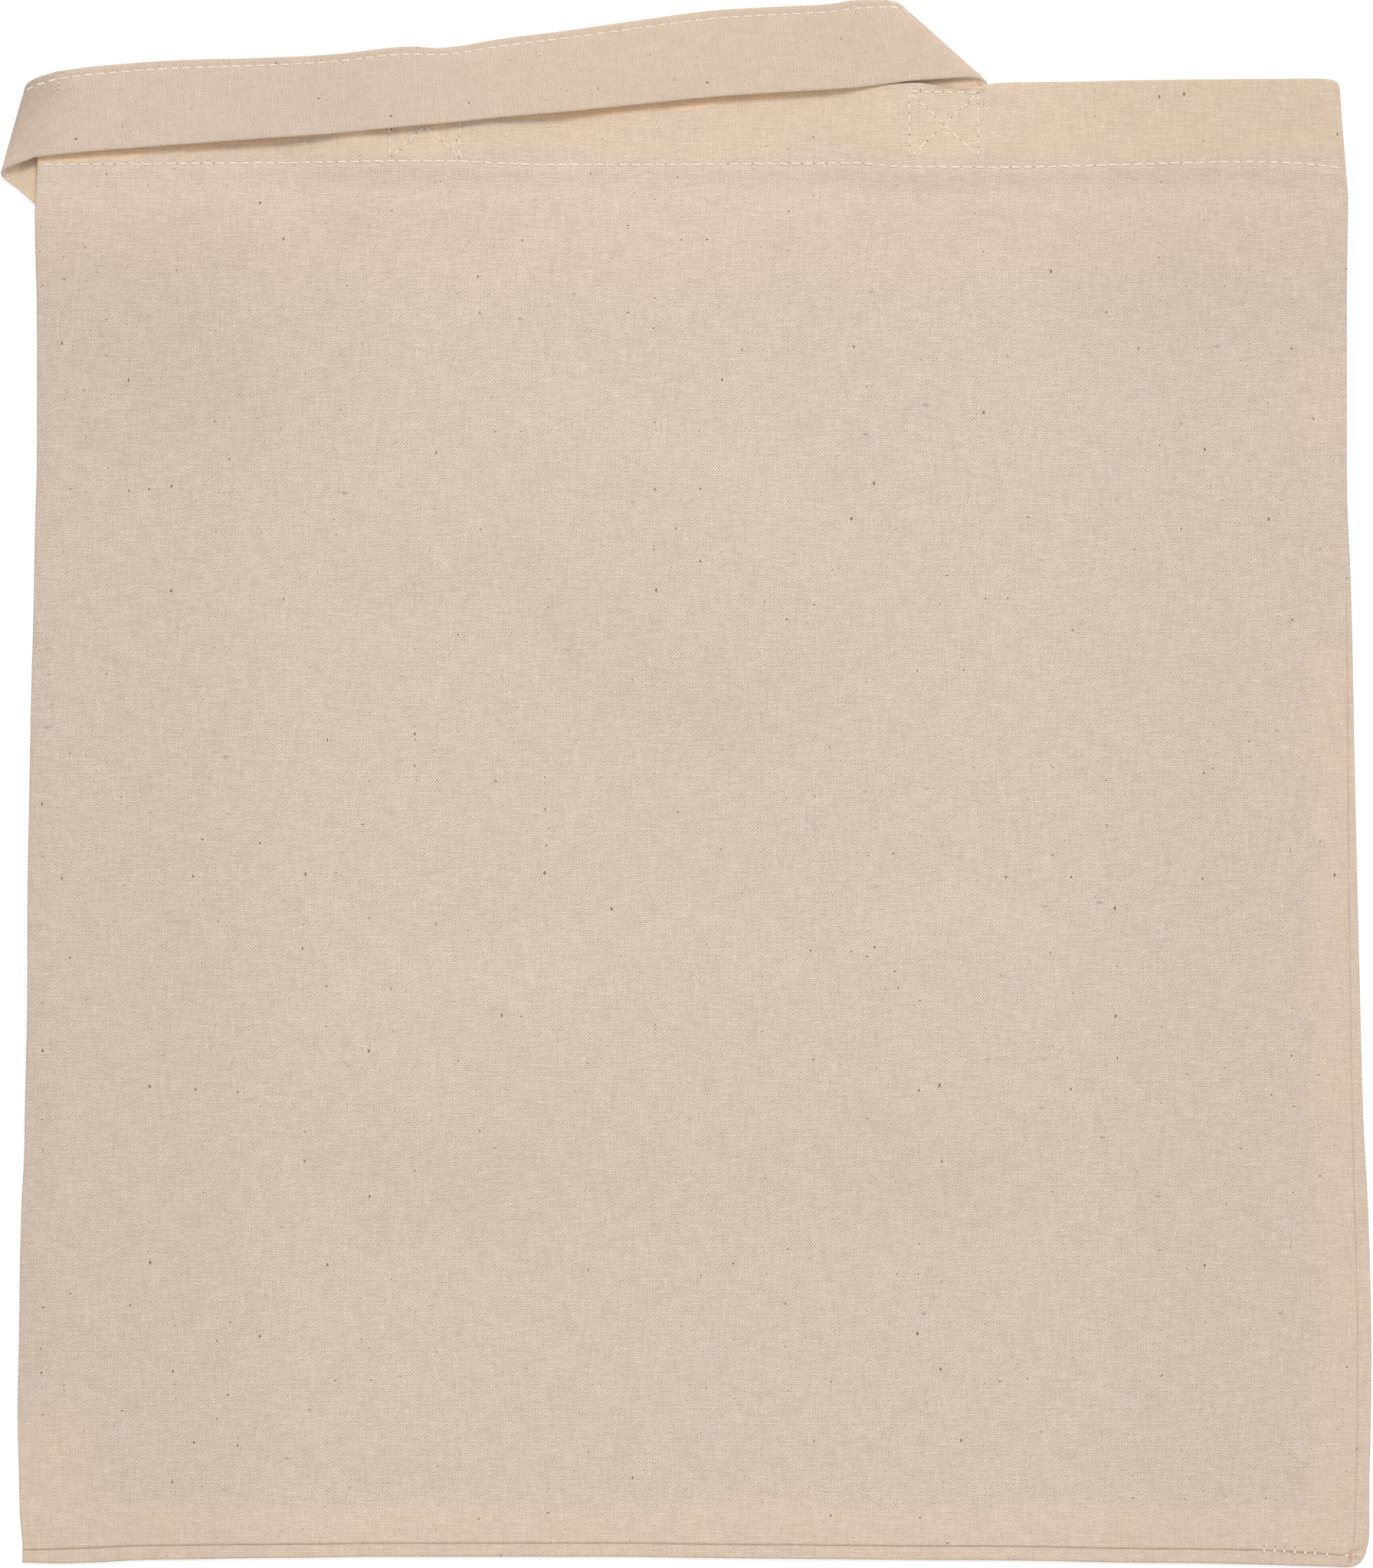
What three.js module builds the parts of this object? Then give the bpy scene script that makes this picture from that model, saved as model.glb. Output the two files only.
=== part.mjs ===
// A plain cotton tote bag, empty, lying face up on a level surface.
//
// The body is one cloth: folded at the left side, sewn along the bottom and the right side, and
// hemmed to the inside round the mouth. Two handles are sewn inside the hem. The front handle
// comes out of the mouth at the right, lies folded across the top of the bag, wraps round its
// left side and runs back underneath. The back handle lies wholly underneath.
//
// Millimetres, +Z up, +Y towards the mouth. The origin is on the surface, under the middle.

import * as THREE from "three";

// ---------------------------------------------------------------- driving sizes

const CLOTH = 1; // one layer of the body cloth
const GAP = 0.3; // air between layers that lie on each other
const STRAP = 1.2; // a handle, four pressed layers of the same cloth
const STRAP_WIDTH = 22;
const HEM = 23.4; // depth of the hem inside the mouth
const SEWN = 21; // length of handle sewn inside the hem
const LEFT_END = -74.2; // the middle of the left pair of handle ends
const RIGHT_END = 72.9; // the middle of the right pair
const EDGE_CLEARANCE = 14; // the cloth stays up this far past a handle under it
const DRAPE = 14; // and comes down over this width
const HEM_CLEARANCE = 2.6; // it stays up this far past the hem inside
const LOOP_BOTTOM = -80; // the back handle's cross run, in y
const COTTON = 0xd8c7b1;

const FOLD = 2 * CLOTH + GAP; // two layers, as over most of the body
const HEMMED = 2 * FOLD + GAP; // four layers, as along the mouth
const STRAP_STEP = STRAP + GAP; // what one handle layer lifts the cloth over it
const LOW = STRAP / 2; // middle of a handle that lies on the surface
const HIGH = LOW + STRAP_STEP; // middle of one that lies on another

// ---------------------------------------------------------------- the body's outline

const LEFT_SIDE = [
  { y: -222, x: -189.3 },
  { y: -208, x: -190 },
  { y: -182, x: -190.8 },
  { y: -164, x: -190.4 },
  { y: -121, x: -189.5 },
  { y: -82, x: -188.2 },
  { y: 5, x: -186.2 },
  { y: 162, x: -185.6 },
  { y: 199, x: -184.8 },
];
const RIGHT_SIDE = [
  { y: -223.2, x: 189 },
  { y: -222.4, x: 191 },
  { y: -220.5, x: 193.2 },
  { y: -217, x: 194.3 },
  { y: -198, x: 194.5 },
  { y: -161, x: 195.2 },
  { y: -120, x: 194.3 },
  { y: -100, x: 193.1 },
  { y: -58, x: 192 },
  { y: 2, x: 190.6 },
  { y: 61, x: 189.3 },
  { y: 92, x: 188.2 },
  { y: 137, x: 188.1 },
  { y: 165, x: 188.6 },
  { y: 186, x: 187.1 },
  { y: 199, x: 185.9 },
  { y: 200.7, x: 185.2 },
];
const BOTTOM_EDGE = [
  { x: -189.3, y: -221.8 },
  { x: -175, y: -222.1 },
  { x: -140, y: -221 },
  { x: -86, y: -220.5 },
  { x: 132, y: -222.1 },
  { x: 169, y: -222.7 },
  { x: 189, y: -223.2 },
];
const MOUTH_EDGE = [
  { x: -184.8, y: 199 },
  { x: 46, y: 198.9 },
  { x: 60, y: 198.2 },
  { x: 86, y: 198.2 },
  { x: 96, y: 199.6 },
  { x: 185.2, y: 200.7 },
];

/** Value of column `out` where column `along` has the value `at`, on straight lines between rows. */
function read(rows, along, out, at) {
  const next = rows.findIndex((row) => row[along] >= at);
  if (next === 0) return rows[0][out];
  if (next === -1) return rows.at(-1)[out];
  const [a, b] = [rows[next - 1], rows[next]];
  const share = (at - a[along]) / (b[along] - a[along]);
  return a[out] + share * (b[out] - a[out]);
}

const leftSide = (y) => read(LEFT_SIDE, "y", "x", y);
const rightSide = (y) => read(RIGHT_SIDE, "y", "x", y);
const bottomEdge = (x) => read(BOTTOM_EDGE, "x", "y", x);
const mouthEdge = (x) => read(MOUTH_EDGE, "x", "y", x);

// ---------------------------------------------------------------- the handles' routes

// A route's rows are places on the band's middle line, in order, with the height of its middle.
// A row with `looks` is a fold: `looks` is the way its crest points, in degrees from +X, `span`
// the length of the fold line, and `reach` how far the bend reaches from its axis, where that is
// more than half its height. The band goes from the height of the row before to that of the row
// after. Rows with `under` start a stretch that lies under the body.

/** Height of a handle end inside the mouth. The back handle's end is the lower one. */
function endHeight(lift, isFront) {
  return lift + FOLD + GAP + STRAP / 2 + (isFront ? STRAP_STEP : 0);
}

const leftMouth = mouthEdge(LEFT_END);
const rightMouth = mouthEdge(RIGHT_END);
const LEFT_LIFT = 2 * STRAP_STEP; // two handle layers lie under the body at the left ends
const RIGHT_LIFT = STRAP_STEP; // and one at the right ends

const BACK_ROUTE = [
  { x: LEFT_END, y: leftMouth - SEWN, z: endHeight(LEFT_LIFT, false) },
  { x: LEFT_END, y: leftMouth + STRAP_STEP, looks: 90, span: STRAP_WIDTH, under: true },
  { x: LEFT_END, y: 86, z: HIGH, under: true },
  { x: LEFT_END, y: 72, z: LOW, under: true },
  { x: LEFT_END, y: LOOP_BOTTOM, looks: 225, span: STRAP_WIDTH * Math.SQRT2, under: true },
  { x: LEFT_END + 22, y: LOOP_BOTTOM, z: HIGH, under: true },
  { x: LEFT_END + 36, y: LOOP_BOTTOM, z: LOW, under: true },
  { x: RIGHT_END, y: LOOP_BOTTOM, looks: 315, span: STRAP_WIDTH * Math.SQRT2, under: true },
  { x: RIGHT_END, y: LOOP_BOTTOM + 22, z: HIGH, under: true },
  { x: RIGHT_END, y: LOOP_BOTTOM + 36, z: LOW, under: true },
  { x: RIGHT_END, y: rightMouth + STRAP_STEP, looks: 90, span: STRAP_WIDTH },
  { x: RIGHT_END, y: rightMouth - SEWN, z: endHeight(RIGHT_LIFT, false) },
];

const FRONT_ROUTE = [
  { x: LEFT_END, y: leftMouth - SEWN, z: endHeight(LEFT_LIFT, true) },
  { x: LEFT_END, y: 206.7, looks: 105.4, span: STRAP_WIDTH * 1.04, under: true },
  { x: 0.2, y: 77.8, z: LOW, under: true },
  { x: 13.8, y: 54.4, looks: 315.5, span: STRAP_WIDTH * 1.03, under: true },
  { x: -34, y: 84.6, z: HIGH, under: true },
  { x: -45.5, y: 92, z: LOW, under: true },
  { x: -191.8, y: 186.8, looks: 165.3, span: 25.5, reach: 6.5 },
  { x: -174, y: 192, z: 7.6 },
  { x: -150, y: 193.9, z: 8.4 },
  { x: -114, y: 196, z: 11.2 },
  { x: -98, y: 196.9, z: 12 },
  { x: -71, y: 198.9, z: 12 },
  { x: -50, y: 201.3, z: 12 },
  { x: -34, y: 203, z: 11 },
  { x: 8, y: 208.1, z: 9.6 },
  { x: 29, y: 209.4, z: 9.8 },
  { x: 46, y: 210.6, z: 10.5 },
  { x: 73.9, y: 211.9, looks: 49, span: 33 },
  { x: RIGHT_END, y: rightMouth - SEWN, z: endHeight(RIGHT_LIFT, true) },
];

const FOLD_STEPS = 6;

/** Sections across a band that folds over at one row of its route. */
function foldSections(before, row, after, faceUp) {
  const angle = THREE.MathUtils.degToRad(row.looks);
  const out = new THREE.Vector3(Math.cos(angle), Math.sin(angle), 0);
  const fold = new THREE.Vector3(-out.y, out.x, 0);
  const over = new THREE.Vector3(0, 0, Math.sign(after.z - before.z));
  const arriving = new THREE.Vector3(row.x - before.x, row.y - before.y, 0);
  const slip = arriving.dot(fold) / arriving.dot(out);
  const radius = Math.abs(after.z - before.z) / 2;
  const reach = row.reach ?? radius;
  const crest = new THREE.Vector3(row.x, row.y, (before.z + after.z) / 2);
  // The band's face is outside a fold that turns away from it.
  const outside = faceUp === before.z > after.z ? 1 : -1;
  const across = over.clone().cross(out).multiplyScalar((outside * row.span) / 2);

  return Array.from({ length: FOLD_STEPS + 1 }, (_, step) => {
    const turn = Math.PI * (step / FOLD_STEPS - 0.5);
    const middle = crest
      .clone()
      .addScaledVector(out, reach * (Math.cos(turn) - 1) - STRAP / 2)
      .addScaledVector(fold, (slip * turn * (reach + radius)) / 2)
      .addScaledVector(over, radius * Math.sin(turn));
    const face = out
      .clone()
      .multiplyScalar(radius * Math.cos(turn))
      .addScaledVector(over, reach * Math.sin(turn))
      .setLength(outside);
    return { middle, across, face };
  });
}

/** The section across a band at a plain row, square to the way it runs there. */
function plainSection(before, row, after, faceUp) {
  const [from, to] = [before ?? row, after ?? row];
  const along = new THREE.Vector3(to.x - from.x, to.y - from.y, 0);
  const face = new THREE.Vector3(0, 0, faceUp ? 1 : -1);
  const across = along.cross(face).setLength(STRAP_WIDTH / 2);
  return { middle: new THREE.Vector3(row.x, row.y, row.z), across, face };
}

/** All sections of a band. One face of it starts up and turns over at each fold. */
function bandSections(route) {
  let faceUp = true;
  return route.flatMap((row, i) => {
    const [before, after] = [route[i - 1], route[i + 1]];
    if (row.looks === undefined) return [plainSection(before, row, after, faceUp)];
    faceUp = !faceUp;
    return foldSections(before, row, after, !faceUp);
  });
}

/** A solid band through its sections. */
function bandGeometry(route) {
  const positions = [];
  const index = [];
  const sections = bandSections(route);
  for (const { middle, across, face } of sections) {
    for (const [side, level] of [[-1, 1], [1, 1], [1, -1], [-1, -1]]) {
      const corner = middle
        .clone()
        .addScaledVector(across, side)
        .addScaledVector(face, (level * STRAP) / 2);
      positions.push(...corner.toArray());
    }
  }
  for (let i = 0; i + 1 < sections.length; i += 1) {
    for (let k = 0; k < 4; k += 1) {
      const [a, b] = [4 * i + k, 4 * i + ((k + 1) % 4)];
      index.push(a, b, b + 4, a, b + 4, a + 4);
    }
  }
  const last = 4 * (sections.length - 1);
  index.push(0, 2, 1, 0, 3, 2, last, last + 1, last + 2, last, last + 2, last + 3);
  return indexed(positions, index);
}

function indexed(positions, index) {
  const geometry = new THREE.BufferGeometry();
  geometry.setAttribute("position", new THREE.Float32BufferAttribute(positions, 3));
  geometry.setIndex(index);
  geometry.computeVertexNormals();
  return geometry;
}

// ---------------------------------------------------------------- how high the cloth lies

/** Straight stretches of handle under the body, with the height their top lifts it to. */
function stretchesUnder(route) {
  return route.slice(0, -1).flatMap((row, i) => {
    if (!row.under) return [];
    const next = route[i + 1];
    const heights = [row.z, next.z].filter((z) => z !== undefined);
    const from = new THREE.Vector2(row.x, row.y);
    const to = new THREE.Vector2(next.x, next.y);
    return [{ from, to, lift: Math.max(...heights) + STRAP / 2 + GAP }];
  });
}

const UNDER = [...stretchesUnder(BACK_ROUTE), ...stretchesUnder(FRONT_ROUTE)];
const SEWN_ENDS = [
  { x: LEFT_END, mouth: leftMouth },
  { x: RIGHT_END, mouth: rightMouth },
].map(({ x, mouth }) => ({
  from: new THREE.Vector2(x, mouth - SEWN + STRAP_WIDTH / 2),
  to: new THREE.Vector2(x, mouth),
  lift: 2 * STRAP_STEP,
}));

/** 1 up to `clearance` from a feature, then down to 0 over the drape's width. */
function drape(distance, clearance) {
  return 1 - THREE.MathUtils.smoothstep(distance, clearance, clearance + DRAPE);
}

/** How much a set of bands raises the cloth at one place. */
function raisedBy(stretches, x, y) {
  const place = new THREE.Vector2(x, y);
  const heights = stretches.map(({ from, to, lift }) => {
    const run = to.clone().sub(from);
    const share = place.clone().sub(from).dot(run) / run.lengthSq();
    const nearest = from.clone().addScaledVector(run, THREE.MathUtils.clamp(share, 0, 1));
    return lift * drape(nearest.distanceTo(place) - STRAP_WIDTH / 2, EDGE_CLEARANCE);
  });
  return Math.max(0, ...heights);
}

/** Height of the body's underside, and its thickness from skin to skin, at one place. */
function lie(x, y) {
  const hemEdge = mouthEdge(x) - HEM;
  const hem = (HEMMED - FOLD) * drape(hemEdge - y, HEM_CLEARANCE);
  return { under: raisedBy(UNDER, x, y), thick: FOLD + hem + raisedBy(SEWN_ENDS, x, y) };
}

// ---------------------------------------------------------------- the body

// The body's grid is fine where handles lie under it.
const COLUMN_LINES = [
  ...evenly(-176, 34, 16),
  ...evenly(48, 108, 6),
  ...evenly(134, 182, 3),
];
const ROW_LINES = [
  ...evenly(-214, -150, 3),
  ...evenly(-108, -66, 4),
  ...evenly(-50, 6, 3),
  ...evenly(34, 160, 10),
];
const HEM_LINES = [HEM + HEM_CLEARANCE, HEM, (2 / 3) * HEM, HEM / 3]; // below the mouth's edge
const ROUNDING = [0, 50, 90].map((degrees) => {
  const turn = THREE.MathUtils.degToRad(degrees);
  return { reach: 1 - Math.cos(turn), rise: Math.sin(turn) };
});

function evenly(first, last, count) {
  return Array.from({ length: count }, (_, i) => THREE.MathUtils.lerp(first, last, i / (count - 1)));
}

// Columns run from side to side. The three nearest a side round it off.
const COLUMNS = [
  ...ROUNDING.map((round) => ({ ...round, side: -1 })),
  ...COLUMN_LINES.map((x) => ({ x, rise: 1 })),
  ...ROUNDING.toReversed().map((round) => ({ ...round, side: 1 })),
];

/** Where a column meets a height y, for a surface `depth` inside the body's outer skin. */
function columnX(column, y, depth) {
  if (column.x !== undefined) return column.x;
  const side = column.side < 0 ? leftSide(y) : rightSide(y);
  const radius = lie(side, y).thick / 2 - depth;
  return side - column.side * (depth + radius * column.reach);
}

/** The rows of one face of the cloth, from the bottom edge to the hem's free edge inside. */
function clothRows(isOutside) {
  const depth = isOutside ? 0 : CLOTH;
  const bend = isOutside ? FOLD / 2 : GAP / 2; // radius of this face where the hem turns
  const steps = isOutside ? 4 : 2;
  const hemDepth = depth + 2 * bend;
  const belowMouth = (below) => (x) => mouthEdge(x) - below;
  return [
    ...ROUNDING.map(({ reach, rise }) => ({
      y: (x) => bottomEdge(x) + depth + (FOLD / 2 - depth) * reach,
      depth,
      rise,
    })),
    ...ROW_LINES.map((line) => ({ y: () => line, depth, rise: 1 })),
    ...HEM_LINES.map((below) => ({ y: belowMouth(below), depth, rise: 1 })),
    ...Array.from({ length: steps + 1 }, (_, step) => {
      const turn = (Math.PI * step) / steps;
      return {
        y: belowMouth(FOLD / 2 - bend * Math.sin(turn)),
        depth: depth + bend * (1 - Math.cos(turn)),
        rise: 1,
      };
    }),
    ...HEM_LINES.slice(1)
      .toReversed()
      .map((below) => ({ y: belowMouth(below), depth: hemDepth, rise: 1 })),
  ];
}

/** One point of the body: `half` is 1 on the half that faces up and -1 on the other. */
function bodyPoint(column, row, half) {
  const guess = column.x ?? (column.side < 0 ? LEFT_SIDE : RIGHT_SIDE)[0].x;
  const y = row.y(guess);
  const x = columnX(column, y, row.depth);
  const { under, thick } = lie(x, y);
  const z = under + thick / 2 + half * (thick / 2 - row.depth) * column.rise * row.rise;
  return [x, y, z];
}

/**
 * The body as one closed sheet. Each row is a ring, along the half that faces up and back along
 * the other. The first and the last row are the bottom edge, where the two halves meet.
 */
function bodyGeometry() {
  const rows = [...clothRows(true), ...clothRows(false).toReversed()];
  const last = COLUMNS.length - 1;
  const positions = [];
  const rings = rows.map((row) => {
    const addPoint = (column, half) => positions.push(...bodyPoint(COLUMNS[column], row, half)) / 3 - 1;
    const front = COLUMNS.map((_, column) => addPoint(column, 1));
    const back = front.slice(1, last).map((shared, i) => (row.rise === 0 ? shared : addPoint(i + 1, -1)));
    return { ids: [...front, ...back.toReversed()], y: row.y(0) };
  });

  const index = [];
  for (let r = 0; r + 1 < rings.length; r += 1) {
    const [ring, next] = [rings[r], rings[r + 1]];
    const size = ring.ids.length;
    for (let k = 0; k < size; k += 1) {
      const [a, b] = [ring.ids[k], ring.ids[(k + 1) % size]];
      const [d, c] = [next.ids[k], next.ids[(k + 1) % size]];
      // Every layer is split along the same diagonal in plan, so that layers stay apart.
      const splitsOnB = next.y > ring.y === k < last;
      index.push(...(splitsOnB ? [a, b, d, b, c, d] : [a, b, c, a, c, d]));
    }
  }
  return indexed(positions, index);
}

// ---------------------------------------------------------------- the bag

function clothMesh(name, geometry) {
  const material = new THREE.MeshStandardMaterial({ color: COTTON, roughness: 0.95, metalness: 0 });
  const mesh = new THREE.Mesh(geometry, material);
  mesh.name = name;
  return mesh;
}

const bag = new THREE.Group();
bag.name = "tote_bag";
bag.add(clothMesh("bag_body", bodyGeometry()));
bag.add(clothMesh("front_handle", bandGeometry(FRONT_ROUTE)));
bag.add(clothMesh("back_handle", bandGeometry(BACK_ROUTE)));

export default bag;
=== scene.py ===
"""Looks of an empty cotton tote bag that lies face up, seen from straight above.

Tables and sizes are in millimetres, +Y towards the mouth and +Z up, as in the frame.
"""

import math
import random

import bpy
import numpy as np
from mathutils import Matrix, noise
from mathutils.bvhtree import BVHTree


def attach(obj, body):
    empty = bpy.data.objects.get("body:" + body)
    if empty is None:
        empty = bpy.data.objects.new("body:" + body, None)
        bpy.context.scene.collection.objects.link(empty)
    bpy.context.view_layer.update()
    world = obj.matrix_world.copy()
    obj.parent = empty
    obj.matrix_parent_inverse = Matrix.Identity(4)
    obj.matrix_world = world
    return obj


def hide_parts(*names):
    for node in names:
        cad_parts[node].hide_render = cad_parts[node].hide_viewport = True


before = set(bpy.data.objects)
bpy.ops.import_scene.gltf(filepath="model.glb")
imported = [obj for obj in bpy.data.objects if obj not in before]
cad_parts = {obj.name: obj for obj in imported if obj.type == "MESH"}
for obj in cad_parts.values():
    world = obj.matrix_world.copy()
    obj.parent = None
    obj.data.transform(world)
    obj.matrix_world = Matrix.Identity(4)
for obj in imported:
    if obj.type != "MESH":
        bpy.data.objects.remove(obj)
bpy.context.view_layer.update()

MM = 0.001

# -------------------- sizes

CLOTH = 0.45  # one layer of the body cloth
AIR = 0.2  # between layers that lie on each other
HANDLE = 1.4  # four layers of it, sewn
HANDLE_WIDTH = 22.0
STACK = HANDLE + 0.1  # what one handle layer lifts the cloth over it
FOLDED = 2 * CLOTH + AIR  # the body's two layers
HEMMED = 2 * FOLDED + AIR  # four layers, along the mouth
HEM_TURN = FOLDED / 2  # radius where the hem turns inside
SKIN = FOLDED / 2 + CLOTH  # past this distance from an edge the columns serve every surface
PRESSED = 0.6  # what is left of a layer's thickness in a seam or along an edge
EDGE_RADIUS = FOLDED / 2 + CLOTH * PRESSED  # of the body's sides and bottom
FLAT_PAST = 2.0  # the cloth over a handle stays fully raised until this far past its edge
DRAPE = 40.0  # and then comes down over this width
END_DRAPE = 24.0  # the same over the sewn ends in the mouth
HEM_PAST_STITCH = 1.2  # the hem's free edge lies this far below its stitches
ALLOWANCE = 14.0  # width of the seam allowance inside
SEWN = 21.0  # length of handle inside the hem
LEFT_END = -74.2  # middle of the left pair of handle ends, in x
RIGHT_END = 72.9
LOOP_BOTTOM = -80.0  # the back handle's cross run, in y
FRAME_HEIGHT = 446.9  # what the camera sees at the surface
LENS = 180.0
SENSOR = 36.0
CAMERA_HEIGHT = FRAME_HEIGHT * LENS / SENSOR
STITCH_PITCH = 3.5  # along the hem and the handles
BOX_PITCH = 3.3  # round the stitched boxes
NEEDLE = 0.4  # width of a needle hole
# The painted highlight along a handle's folded edge begins and is full at these places.
RIM_HIGHLIGHT_SPAN = (-9.9, -10.8)  # where a handle's folded edge begins and is full, across it
UNDERSIDE = 46.0  # where a handle's underside goes on in its cloth coordinates
# Below this edge, in the handle's shadow, the body gets painted warm light.
SHADE_EDGE = (0.0865, 0.1945)  # the handle's lower edge over the body: slope, and y in metres
THREADS_ACROSS = 0.415  # spacing of the threads that run up the bag
THREADS_UP = 0.52  # spacing of those that run across it

# -------------------- smooth curves through tables


def through(rows):
    """A smooth function through (at, value) rows, flat beyond the first and the last."""
    at, value = (np.array(column, float) for column in zip(*rows))
    steps = np.diff(value) / np.diff(at)
    inner = np.where(steps[:-1] * steps[1:] > 0, 0.5 * (steps[:-1] + steps[1:]), 0.0)
    limit = 3 * np.minimum(abs(steps[:-1]), abs(steps[1:]))
    slopes = np.concatenate([[steps[0]], np.clip(inner, -limit, limit), [steps[-1]]])

    def curve(t):
        t = np.clip(np.asarray(t, float), at[0], at[-1])
        i = np.clip(np.searchsorted(at, t) - 1, 0, len(at) - 2)
        width = at[i + 1] - at[i]
        s = (t - at[i]) / width
        ends = (1 + 2 * s) * (1 - s) ** 2 * value[i] + s**2 * (3 - 2 * s) * value[i + 1]
        return ends + width * (s * (1 - s) ** 2 * slopes[i] - s**2 * (1 - s) * slopes[i + 1])

    return curve


def ease(value, low, high):
    """0 below low, 1 above high, smooth between. low may be the larger one."""
    t = np.clip((value - low) / (high - low), 0, 1)
    return t * t * (3 - 2 * t)


def bump(distance, width):
    return np.exp(-((distance / width) ** 2))


def max_of(arrays):
    return np.max(np.broadcast_arrays(*arrays), axis=0)


def run_lengths(places):
    """How far along a path each of its places is."""
    steps = np.linalg.norm(np.diff(places, axis=0), axis=1)
    return np.concatenate([[0], np.cumsum(steps)])


# -------------------- the body's outline

# (y, x)
left_side = through([
    (-222, -189.2), (-218, -189.1), (-208, -189.9), (-195, -190.2), (-180, -190.6),
    (-160, -190.2), (-132, -189.8), (-119, -189.4), (-106, -188.7), (-93, -188.5), (-80, -188.2),
    (-67, -187.9), (-28, -187.7), (-1, -187.2), (25, -186.7), (51, -186), (77, -185.5),
    (90, -185.1), (138, -185.05), (148, -185.3), (162, -185.5), (176, -184.9), (199, -184.6),
])
right_side = through([
    (-223.2, 188.5), (-222.7, 190.4), (-220.5, 192.8), (-217.7, 193.8), (-213.5, 194.5),
    (-198, 194.5), (-188, 194.8), (-161, 195.1), (-146, 194.9), (-120, 194.1), (-110, 193.6),
    (-100, 193), (-58, 191.8), (2, 190.4), (61, 189.1), (75, 188.4), (92, 188.1), (137, 188.1),
    (155, 188.3), (165.5, 188.5), (175, 187.8), (186, 186.9), (195, 186.2), (198.9, 185.8),
    (200.5, 185),
])
# (x, y)
bottom_edge = through([
    (-189.4, -221.8), (-178, -222.05), (-167, -221.7), (-156, -221.1), (-145, -220.95),
    (-129, -220.65), (-102, -220.35), (-91, -220.15), (-25, -220.15), (7, -220.55),
    (29, -220.75), (62, -221.05), (95, -221.25), (111, -221.55), (128, -221.85), (149, -222.05),
    (165, -222.45), (182, -222.95), (189, -223.2),
])
mouth_edge = through([
    (-184.8, 198.7), (-60, 199), (40, 198.9), (58, 199), (66, 199.3), (69.5, 198.8),
    (73, 197.95), (77, 197.8), (82, 198.2), (85.6, 198.9), (89.4, 199.35), (95, 199.6),
    (110, 199.95), (122, 200.3), (138, 200.6), (150, 200.7), (178, 200.85), (183.5, 200.6),
    (185.2, 199.9),
])
hem_stitches = through([
    (-184, 176.2), (-74, 176.9), (-43, 176.2), (44, 176.6), (53, 176.3), (60, 175.4),
    (86, 175.3), (121, 176.2), (158, 177.1), (172, 176.8), (188, 175.2),
])
# Width of the back cloth that rolls round to the front, past the seam line.
# (y, width)
right_roll = through([
    (-217, 4.2), (-190, 3.8), (-160, 4), (-120, 3.9), (-96, 3.2), (-58, 2.8), (-28, 2.5),
    (2, 2), (30, 1.7), (61, 1.5), (76, 1.3),
])
# (x, width)
bottom_roll = through([
    (-189, 3.6), (-175, 4.2), (-140, 4), (-86, 3.8), (60, 4), (132, 4), (160, 4.1),
    (181, 3.6), (189, 3.2),
])


def bottom_seam(x):
    return bottom_edge(x) + bottom_roll(x)


def right_seam(y):
    return right_side(y) - right_roll(y)


def past_seams(x, y):
    """How far (x, y) is inside the bottom's and inside the right side's seam line."""
    return y - bottom_seam(x), right_seam(y) - x


# -------------------- how the cloth lies

# Handles under the body: straight stretches with the height to which they lift it.
# (from x, from y, to x, to y, lift)
UNDER = [
    (LEFT_END, 199, LEFT_END, 84, 2 * STACK),
    (LEFT_END, 84, LEFT_END, LOOP_BOTTOM, STACK),
    (LEFT_END, LOOP_BOTTOM, RIGHT_END, LOOP_BOTTOM, STACK),
    (RIGHT_END, LOOP_BOTTOM, RIGHT_END, 199, STACK),
    (LEFT_END, LOOP_BOTTOM, LEFT_END + 20, LOOP_BOTTOM, 2 * STACK),
    (RIGHT_END, LOOP_BOTTOM, RIGHT_END, LOOP_BOTTOM + 20, 2 * STACK),
    (LEFT_END, 199, 13.8, 54.4, STACK),
    (13.8, 54.4, -191.8, 186.8, STACK),
    (13.8, 54.4, -34, 84.6, 2 * STACK),
]
# Sewn ends inside the mouth.
ENDS = [
    (LEFT_END, 190, LEFT_END, 199, 2 * STACK),
    (RIGHT_END, 190, RIGHT_END, 199, 2 * STACK),
]


def across_line(x, y, start, end):
    """Distance from (x, y) to the stretch from start to end."""
    run = np.array(end) - np.array(start)
    share = np.clip(((x - start[0]) * run[0] + (y - start[1]) * run[1]) / (run @ run), 0, 1)
    return np.hypot(x - start[0] - share * run[0], y - start[1] - share * run[1])


def raised_by(stretches, x, y, drape):
    """How far bands raise the cloth at (x, y), which comes down over the width drape."""
    height = np.zeros(np.broadcast(x, y).shape)
    for x0, y0, x1, y1, lift in stretches:
        away = across_line(x, y, (x0, y0), (x1, y1)) - HANDLE_WIDTH / 2
        height = np.maximum(height, lift * ease(away, FLAT_PAST + drape, FLAT_PAST))
    return height


def lie(x, y):
    """Height of the body's underside and its thickness from skin to skin."""
    hem_edge = hem_stitches(x) - HEM_PAST_STITCH
    thick = FOLDED + (HEMMED - FOLDED) * ease(y, hem_edge - 7, hem_edge + 0.5)
    seam = np.maximum(
        ease(y, bottom_edge(x) + ALLOWANCE + 2, bottom_edge(x) + ALLOWANCE - 1),
        ease(x, right_side(y) - ALLOWANCE - 2, right_side(y) - ALLOWANCE + 1),
    )
    thick = thick + 2 * CLOTH * PRESSED * seam
    return raised_by(UNDER, x, y, DRAPE), thick + raised_by(ENDS, x, y, END_DRAPE)


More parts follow.
